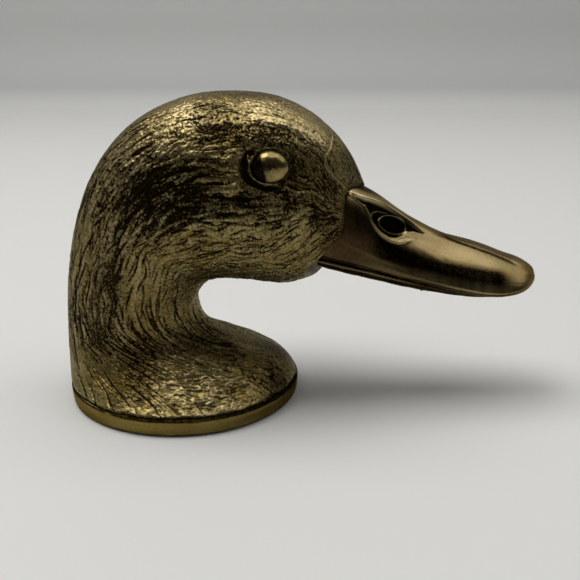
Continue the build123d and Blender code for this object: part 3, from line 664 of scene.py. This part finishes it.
# painted gold highlight on the upper rim, the lower rim, the ring and the end of the parting line
bill_painted_gold_highlight = np.clip(0.95 * up_rim * (1 - smooth(372, 392, bx)) + 0.5 * low_rim + 0.35 * ring_n + 0.3 * part_tail, 0, 1)
upper = grid_object("upper_bill_cast", B1, {"dark": bdark, "root": rootness, "wear_and_painted_highlight": bill_painted_highlight, "warm": bwarm, "painted_highlight": bill_painted_gold_highlight, "deep": bdeep})

LO = np.array([
    # xm    zm     xl    zl     W
    (34.0, 39.7, 32.6, 36.4,  9.6),
    (38.4, 38.5, 37.0, 34.9,  9.6),
    (43.6, 37.3, 42.2, 33.5,  9.5),
    (49.5, 35.9, 48.4, 31.9,  9.5),
    (55.6, 34.3, 54.8, 30.5,  9.7),
    (62.6, 32.6, 62.1, 29.3,  9.9),
    (69.6, 31.0, 69.4, 28.3,  9.7),
    (76.8, 29.85, 76.8, 27.8,  8.8),
    (82.0, 29.7, 82.0, 28.2,  6.8),
    (85.0, 29.8, 85.0, 28.9,  3.6),
    (85.8, 29.9, 85.8, 29.5,  0.8),
])
LU, LV = 260, 160
lk = np.r_[0, np.cumsum(np.sqrt((np.diff(LO, axis=0) ** 2).sum(1)) ** 0.6)]
lk /= lk[-1]
lo_at = cubic(lk, LO)
lt = np.linspace(0, 2 * np.pi, LV, endpoint=False)
pl = lo_at(np.linspace(0, 1, LU))
xm, zm, xl, zl, lw = (pl[:, m][:, None] for m in range(5))
c, s = np.cos(lt)[None], np.sin(lt)[None]
down = np.clip(-c, 0, 1) ** 0.75
L0 = np.stack([xm + (xl - xm) * down, lw * spow(s, 0.85), zm - 0.62 + (zl - zm + 0.62) * down + 0 * c], -1)
LN = grid_normals(L0)
lrng = np.random.default_rng(9)
lx, ly = picture(L0)
lshape = (LU, LV)
LH = 0.03 * grain(lrng, lshape, 6, 4) + 0.02 * grain(lrng, lshape, 2, 1.5)
LH += np.exp(-(((lx - 420) / 6) ** 2)) * np.clip(grain(lrng, lshape, 1.3, 4), 0, 3) * 0.13
lip = np.exp(-((down - 0.17) / 0.06) ** 2) * smooth(430, 385, lx)
LH += 0.12 * lip
L1 = L0 + LN * LH[..., None]
# painted shade: the lower bill is drawn near black under the upper one, lighter towards the tip, with a painted
# highlight along the lip
lower = grid_object("lower_bill_cast", L1, {"dark": np.clip(0.94 + 0.05 * grain(lrng, lshape, 8, 3) - 0.7 * lip - 0.40 * smooth(465, 505, lx), 0, 1),
                                            "root": np.ones(lshape) * 0.5 * smooth(470, 400, lx), "wear_and_painted_highlight": 0.7 * lip + 0 * ly})

# ------------------------------------------------------------------ eyes
EYE_A, EYE_B, EYE_C = 4.45, 3.95, 3.3


def bead(name, side, seed):
    """Squashed bead on its stem, looking out to one side, a little forward and up."""
    r = np.random.default_rng(seed)
    n, m = 70, 96
    lat = np.linspace(0.02, math.pi / 2 + 0.25, n)
    lon = np.linspace(0, 2 * np.pi, m, endpoint=False)
    a, o = np.meshgrid(lat, lon, indexing="ij")
    dents = 0.045 * grain(r, (n, m), 10, 9) + 0.008 * grain(r, (n, m), 2, 2)
    f = 1 + dents / 4
    q = np.stack([EYE_A * np.sin(a) * np.cos(o) * f, EYE_B * np.sin(a) * np.sin(o) * f, EYE_C * np.cos(a) * f], -1)
    back = smooth(0.22, 0.52, -q[..., 0] / EYE_A - 0.16 * q[..., 1] / EYE_B)    # painted dark reflection: the rear of the bead stays dark
    stem = []
    for rad, dep in ((3.2, -1.2), (1.6, -1.6), (1.45, -2.0), (1.45, -5.6), (1.0, -5.9)):
        stem.append(np.stack([rad * np.cos(lon), rad * np.sin(lon), np.full(m, dep)], -1))
    q = np.concatenate([q, np.array(stem)], 0)
    yaw, pitch = math.radians(8), math.radians(7)
    out = np.array([math.sin(yaw), side * math.cos(yaw) * math.cos(pitch), math.sin(pitch)])
    out /= np.linalg.norm(out)
    fw = np.array([1.0, 0, 0]) - out[0] * out
    fw /= np.linalg.norm(fw)
    upv = np.cross(fw, out) * (1 if side < 0 else -1)
    upv *= np.sign(upv[2])
    cen = np.array([23.3, side * 15.9, 62.3])
    w = cen + q[..., :1] * fw + q[..., 1:2] * upv + q[..., 2:3] * out
    # random wear, painted dark reflection on the rear, darker towards the stem
    wear_and_painted_reflection = np.clip(0.28 + 0.16 * grain(r, (n, m), 6, 6) + 1.1 * back + smooth(1.25, 1.6, a), 0, 1.3)
    wear_and_painted_reflection = np.concatenate([wear_and_painted_reflection, np.ones((5, m))], 0)
    return grid_object(name, w, {"dark": wear_and_painted_reflection})


right_eye = bead("right_eye_bead", -1, 31)
left_eye = bead("left_eye_bead", 1, 32)

# ------------------------------------------------------------------ base plate and felt
RV = 720
ra = np.linspace(0, 2 * np.pi, RV, endpoint=False)
prof = [  # inset from the plate's edge, height
    (9.0, 1.1), (2.5, 1.1), (2.5, 0.34), (2.2, 0.30), (1.1, 0.30), (0.72, 0.36), (0.44, 0.55), (0.30, 0.85),
    (0.22, 1.3), (0.14, 1.9), (0.07, 2.6), (0.02, 3.2), (0.0, 3.7), (0.05, 3.98), (0.16, 4.2), (0.34, 4.36), (0.6, 4.46),
    (1.2, 4.5), (9.0, 4.5)]
fine = []
for (a0, z0), (a1, z1) in zip(prof[:-1], prof[1:]):
    m = 4 if 0.3 < z0 < 4.5 else 1
    for t in np.arange(m) / m:
        fine.append((a0 + (a1 - a0) * t, z0 + (z1 - z0) * t))
fine.append(prof[-1])
fine = np.array(fine)
rrng = np.random.default_rng(12)
wob = grain(rrng, (len(fine), RV), 8, 14) * 0.05 + grain(rrng, (len(fine), RV), 2, 3) * 0.012
ins, hz = fine[:, 0][:, None] - wob * (fine[:, 1][:, None] > 0.4) * (fine[:, 0][:, None] < 1.0), fine[:, 1][:, None]
ragged = 0.05 * grain(rrng, (1, RV), 1, 2.6) * smooth(3.8, 4.3, hz) * (ins < 3)
R0 = np.stack([(29.9 - ins) * np.cos(ra), (27.5 - ins) * np.sin(ra), hz + ragged + 0 * ra], -1)
# dark seam groove along the top edge; painted shade along the foot of the rim
seam_and_painted_foot_shade = smooth(3.86, 4.12, hz + ragged * 3.0 + 0 * ra) * 0.97 + smooth(0.62, 0.34, hz + 0 * ra) * 0.75
blot = np.clip(0.18 * grain(rrng, (len(fine), RV), 5, 16), -0.1, 0.4)
painted_front_shade = smooth(math.radians(75), math.radians(20), np.minimum(ra, 2 * np.pi - ra))[None] * 0.35     # painted shade: darker in front
# painted highlight along the top chamfer
plate = grid_object("base_rim", R0, {"dark": np.clip(seam_and_painted_foot_shade + blot + painted_front_shade, 0, 1), "wear_and_painted_highlight": 0.12 * smooth(3.4, 3.65, hz) * smooth(3.9, 3.7, hz) + 0 * ra})

frng = np.random.default_rng(14)
fprof = np.array([(8.0, 0.0), (0.5, 0.0), (0.18, 0.06), (0.02, 0.25), (0.0, 0.5), (0.02, 0.9), (0.2, 1.06), (8.0, 1.08)])
fi = fprof[:, 0][:, None] + 0.05 * np.abs(grain(frng, (len(fprof), RV), 1, 1.2)) * (fprof[:, 1][:, None] > 0.02)
F0 = np.stack([(27.3 - fi) * np.cos(ra), (24.9 - fi) * np.sin(ra), fprof[:, 1][:, None] + 0 * ra], -1)
felt = grid_object("felt_under", F0)

# ------------------------------------------------------------------ materials
def new_mat(name):
    m = bpy.data.materials.new(name)
    m.use_nodes = True
    nt = m.node_tree
    return m, nt, nt.nodes["Principled BSDF"]


def node(nt, kind, **kw):
    n = nt.nodes.new(kind)
    for key, v in kw.items():
        setattr(n, key, v)
    return n


def attr(nt, name):
    return node(nt, "ShaderNodeAttribute", attribute_name=name).outputs["Fac"]


def noise(nt, scale, detail=3.0, rough=0.5, vec=None, distortion=0.0):
    n = node(nt, "ShaderNodeTexNoise")
    n.inputs["Scale"].default_value = scale
    n.inputs["Detail"].default_value = detail
    n.inputs["Roughness"].default_value = rough
    n.inputs["Distortion"].default_value = distortion
    if vec is None:
        vec = node(nt, "ShaderNodeTexCoord").outputs["Object"]
    nt.links.new(vec, n.inputs["Vector"])
    return n.outputs["Fac"]


def ramp(nt, fac, stops):
    r = node(nt, "ShaderNodeValToRGB")
    el = r.color_ramp.elements
    while len(el) < len(stops):
        el.new(0.5)
    for e_, (p, col) in zip(el, stops):
        e_.position = p
        e_.color = (*col, 1.0) if len(col) == 3 else col
    nt.links.new(fac, r.inputs["Fac"])
    return r.outputs["Color"]


def mix(nt, fac, a, b, kind="MIX"):
    m = node(nt, "ShaderNodeMix", data_type="RGBA", blend_type=kind)
    for sock, v in ((m.inputs[0], fac), (m.inputs[6], a), (m.inputs[7], b)):
        if isinstance(v, (int, float)):
            sock.default_value = v
        elif isinstance(v, tuple):
            sock.default_value = (*v, 1.0)
        else:
            nt.links.new(v, sock)
    return m.outputs[2]


def maths(nt, op, a, b=0.0, clamp=False):
    m = node(nt, "ShaderNodeMath", operation=op, use_clamp=clamp)
    for sock, v in ((m.inputs[0], a), (m.inputs[1], b)):
        if isinstance(v, (int, float)):
            sock.default_value = v
        else:
            nt.links.new(v, sock)
    return m.outputs[0]


def remap(nt, v, a, b, c, d):
    m = node(nt, "ShaderNodeMapRange")
    nt.links.new(v, m.inputs["Value"])
    for key, x in (("From Min", a), ("From Max", b), ("To Min", c), ("To Max", d)):
        m.inputs[key].default_value = x
    return m.outputs["Result"]


def bump(nt, height, strength, distance, bsdf):
    b = node(nt, "ShaderNodeBump")
    b.inputs["Strength"].default_value = strength
    b.inputs["Distance"].default_value = distance
    nt.links.new(height, b.inputs["Height"])
    nt.links.new(b.outputs["Normal"], bsdf.inputs["Normal"])


def brass(name, bright, mid, brown, patina_and_shade, rough, grain_scale, stretch=None, red=None, tilt=0.0, bump_depth=0.00003, speckle=(-0.12, 0.20), fine=0.38, edge=(0.55, 0.50, 0.42)):
    """Antique brass: bright on the rubbed high spots and painted highlights, brown in drifts, dark patina in the
    hollows, the same dark colour carrying painted shade.
    """
    m, nt, b = new_mat(name)
    b.inputs["Metallic"].default_value = 1.0
    b.inputs["Specular Tint"].default_value = (*edge, 1.0)
    d = attr(nt, "dark")
    vec = None
    if stretch is not None:
        mp = node(nt, "ShaderNodeMapping")
        mp.inputs["Rotation"].default_value = (0, tilt, 0)
        mp.inputs["Scale"].default_value = stretch
        nt.links.new(node(nt, "ShaderNodeTexCoord").outputs["Object"], mp.inputs["Vector"])
        vec = mp.outputs["Vector"]
    tone = noise(nt, grain_scale, 4.0, 0.62, vec)
    col = mix(nt, remap(nt, tone, 0.30, 0.70, 0.0, 0.8), mid, bright)
    col = mix(nt, remap(nt, noise(nt, 75.0, 3.0, 0.55), 0.42, 0.66, 0.0, 0.75), col, brown)
    col = mix(nt, maths(nt, "MULTIPLY", attr(nt, "warm"), remap(nt, noise(nt, 260.0, 3.0, 0.6), 0.32, 0.68, 0.25, 0.95)), col, (0.23, 0.145, 0.036))
    # rubbed high spots and painted highlights, drawn bright
    col = mix(nt, attr(nt, "wear_and_painted_highlight"), col, bright)
    # painted highlight colour
    col = mix(nt, attr(nt, "painted_highlight"), col, (0.60, 0.475, 0.235))
    if red is not None:
        rt = attr(nt, "root")
        col = mix(nt, maths(nt, "MULTIPLY", rt, remap(nt, noise(nt, 130.0, 3.0, 0.5), 0.3, 0.7, 0.55, 0.95)), col, red)
    dd = maths(nt, "ADD", d, remap(nt, noise(nt, 1500.0, 3.0, 0.6), 0.35, 0.75, *speckle))
    dd = maths(nt, "ADD", dd, remap(nt, noise(nt, 2300.0, 2.0, 0.65), 0.30, 0.70, -fine, fine), clamp=True)
    # dark patina, also standing in for painted shade
    col = mix(nt, dd, col, patina_and_shade)
    col = mix(nt, attr(nt, "deep"), col, (0.0012, 0.0009, 0.0006))
    nt.links.new(col, b.inputs["Base Color"])
    r = maths(nt, "ADD", remap(nt, d, 0.0, 1.0, rough[0], rough[1]), remap(nt, tone, 0.3, 0.7, -0.05, 0.07))
    nt.links.new(r, b.inputs["Roughness"])
    bump(nt, noise(nt, 2600.0, 2.0, 0.6), 0.6, bump_depth, b)
    return m


# the last colour is the dark patina, also used for painted shade
BRIGHT, MID, BROWN, PATINA_AND_SHADE = (0.40, 0.320, 0.158), (0.25, 0.189, 0.046), (0.19, 0.127, 0.025), (0.0088, 0.0050, 0.0007)
mat_head = brass("antique_brass_chased", BRIGHT, MID, BROWN, PATINA_AND_SHADE, (0.34, 0.56), 620.0, edge=(0.85, 0.85, 0.83))
mat_bill = brass("antique_brass_bill", (0.36, 0.282, 0.142), (0.27, 0.206, 0.096), (0.23, 0.166, 0.070), (0.0060, 0.0032, 0.0008), (0.31, 0.32), 900.0,
                 stretch=(1.0, 0.14, 0.14), red=(0.105, 0.053, 0.021), tilt=math.radians(-22), bump_depth=0.000008, speckle=(-0.05, 0.07), fine=0.09)
mat_eye = brass("antique_brass_eye", (0.40, 0.315, 0.13), (0.30, 0.235, 0.09), (0.24, 0.175, 0.06), (0.006, 0.005, 0.003), (0.22, 0.30), 700.0, bump_depth=0.000006, fine=0.06)
mat_rim = brass("antique_brass_rim", (0.29, 0.220, 0.069), (0.195, 0.143, 0.039), (0.15, 0.103, 0.027), PATINA_AND_SHADE, (0.34, 0.6), 500.0,
                stretch=(0.25, 0.25, 1.6), bump_depth=0.00001, fine=0.08)
mat_screw, nt, b = new_mat("turned_brass")
b.inputs["Metallic"].default_value = 1.0
nt.links.new(ramp(nt, noise(nt, 700.0), [(0.3, (0.42, 0.32, 0.14)), (0.7, (0.62, 0.48, 0.22))]), b.inputs["Base Color"])
nt.links.new(remap(nt, noise(nt, 900.0), 0.3, 0.7, 0.25, 0.42), b.inputs["Roughness"])
mat_felt, nt, b = new_mat("felt")
nt.links.new(ramp(nt, noise(nt, 1800.0, 4.0, 0.7), [(0.3, (0.010, 0.010, 0.009)), (0.7, (0.045, 0.043, 0.038))]), b.inputs["Base Color"])
b.inputs["Roughness"].default_value = 0.95
bump(nt, noise(nt, 3200.0, 4.0, 0.7), 0.9, 0.00015, b)

for ob, m, node_name, slot_name in (
        (head, mat_head, "head_casting", "cast_brass"), (upper, mat_bill, "upper_bill", "bill_brass"),
        (lower, mat_bill, "lower_bill", "bill_brass"), (right_eye, mat_eye, "right_eye", "eye_brass"),
        (left_eye, mat_eye, "left_eye", "eye_brass"), (plate, mat_rim, "base_plate", "plate_brass"),
        (felt, mat_felt, "felt_pad", "felt")):
    ob.data.materials.append(m)
    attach(ob, "root")
    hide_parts(node_name)
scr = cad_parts["base_screws"]
if scr.material_slots:
    for sl in scr.material_slots:
        sl.material = mat_screw
else:
    scr.data.materials.append(mat_screw)

# ------------------------------------------------------------------ floor and light
def sweep():
    """Pale table that rises softly into a greyer wall behind."""
    y0, y1, rad = -1.2, 0.60, 0.08
    line = [(y0, 0.0), (0.0, 0.0), (y1, 0.0)]
    for a in np.linspace(0.08, math.pi / 2, 24):
        line.append((y1 + rad * math.sin(a), rad * (1 - math.cos(a))))
    line.append((y1 + rad, 0.9))
    verts, faces = [], []
    for y, z in line:
        verts += [(-1.6, y, z), (1.6, y, z)]
    for i in range(len(line) - 1):
        faces.append((2 * i, 2 * i + 1, 2 * i + 3, 2 * i + 2))
    me = bpy.data.meshes.new("table")
    me.from_pydata(verts, [], faces)
    for p in me.polygons:
        p.use_smooth = True
    ob = bpy.data.objects.new("table", me)
    bpy.context.scene.collection.objects.link(ob)
    m, nt, b = new_mat("pale_table")
    sepz = node(nt, "ShaderNodeSeparateXYZ")
    nt.links.new(node(nt, "ShaderNodeTexCoord").outputs["Object"], sepz.inputs[0])
    nt.links.new(ramp(nt, remap(nt, sepz.outputs["Z"], 0.0, 0.08, 0.0, 1.0),
                      [(0.0, (0.715, 0.715, 0.70)), (0.22, (0.51, 0.515, 0.51)), (1.0, (0.56, 0.565, 0.56))]), b.inputs["Base Color"])
    b.inputs["Roughness"].default_value = 0.6
    me.materials.append(m)


sweep()


def area(name, loc, size, power, aim, colour=(1, 1, 1), size_y=None, shadow=True):
    li = bpy.data.lights.new(name, "AREA")
    li.shape = "RECTANGLE"
    li.size, li.size_y = size, size_y or size
    li.energy = power
    li.color = colour
    li.use_shadow = shadow
    ob = bpy.data.objects.new(name, li)
    bpy.context.scene.collection.objects.link(ob)
    ob.location = loc
    d = np.array(aim, float) - np.array(loc, float)
    from mathutils import Vector
    ob.rotation_euler = Vector(d).to_track_quat("-Z", "Y").to_euler()
    return ob


area("ceiling_left", (-0.30, 0.03, 0.80), 0.50, 2.75, (0.0, 0.0, 0.04), (1.0, 0.99, 0.965), 0.50)
area("ceiling_wide", (0.0, 0.07, 0.84), 1.40, 4.9, (0.0, 0.07, 0), (1.0, 0.99, 0.97), 0.64)
area("left_card", (-1.0, -0.03, 0.42), 0.46, 0.80, (0.0, 0.0, 0.06), (1.0, 0.99, 0.97), 0.45, False)
area("ceiling_right", (1.15, 0.10, 0.80), 0.90, 2.3, (1.0, 0.10, 0), (1.0, 0.99, 0.97), 0.70)

world = bpy.data.worlds.new("room")
bpy.context.scene.world = world
world.use_nodes = True
nt = world.node_tree
bg = nt.nodes["Background"]
tc = node(nt, "ShaderNodeTexCoord").outputs["Generated"]
sep = node(nt, "ShaderNodeSeparateXYZ")
nt.links.new(tc, sep.inputs[0])
# darker towards the viewer's side, lighter behind and overhead
sky = ramp(nt, remap(nt, sep.outputs["Y"], -1.0, 1.0, 0.0, 1.0),
           [(0.0, (0.012, 0.012, 0.012)), (0.40, (0.04, 0.04, 0.04)), (0.65, (0.17, 0.17, 0.17)), (1.0, (0.24, 0.24, 0.24))])
nt.links.new(sky, bg.inputs["Color"])
bg.inputs["Strength"].default_value = 1.0
bpy.context.scene.view_settings.view_transform = "Standard"
bpy.context.scene.view_settings.look = "None"
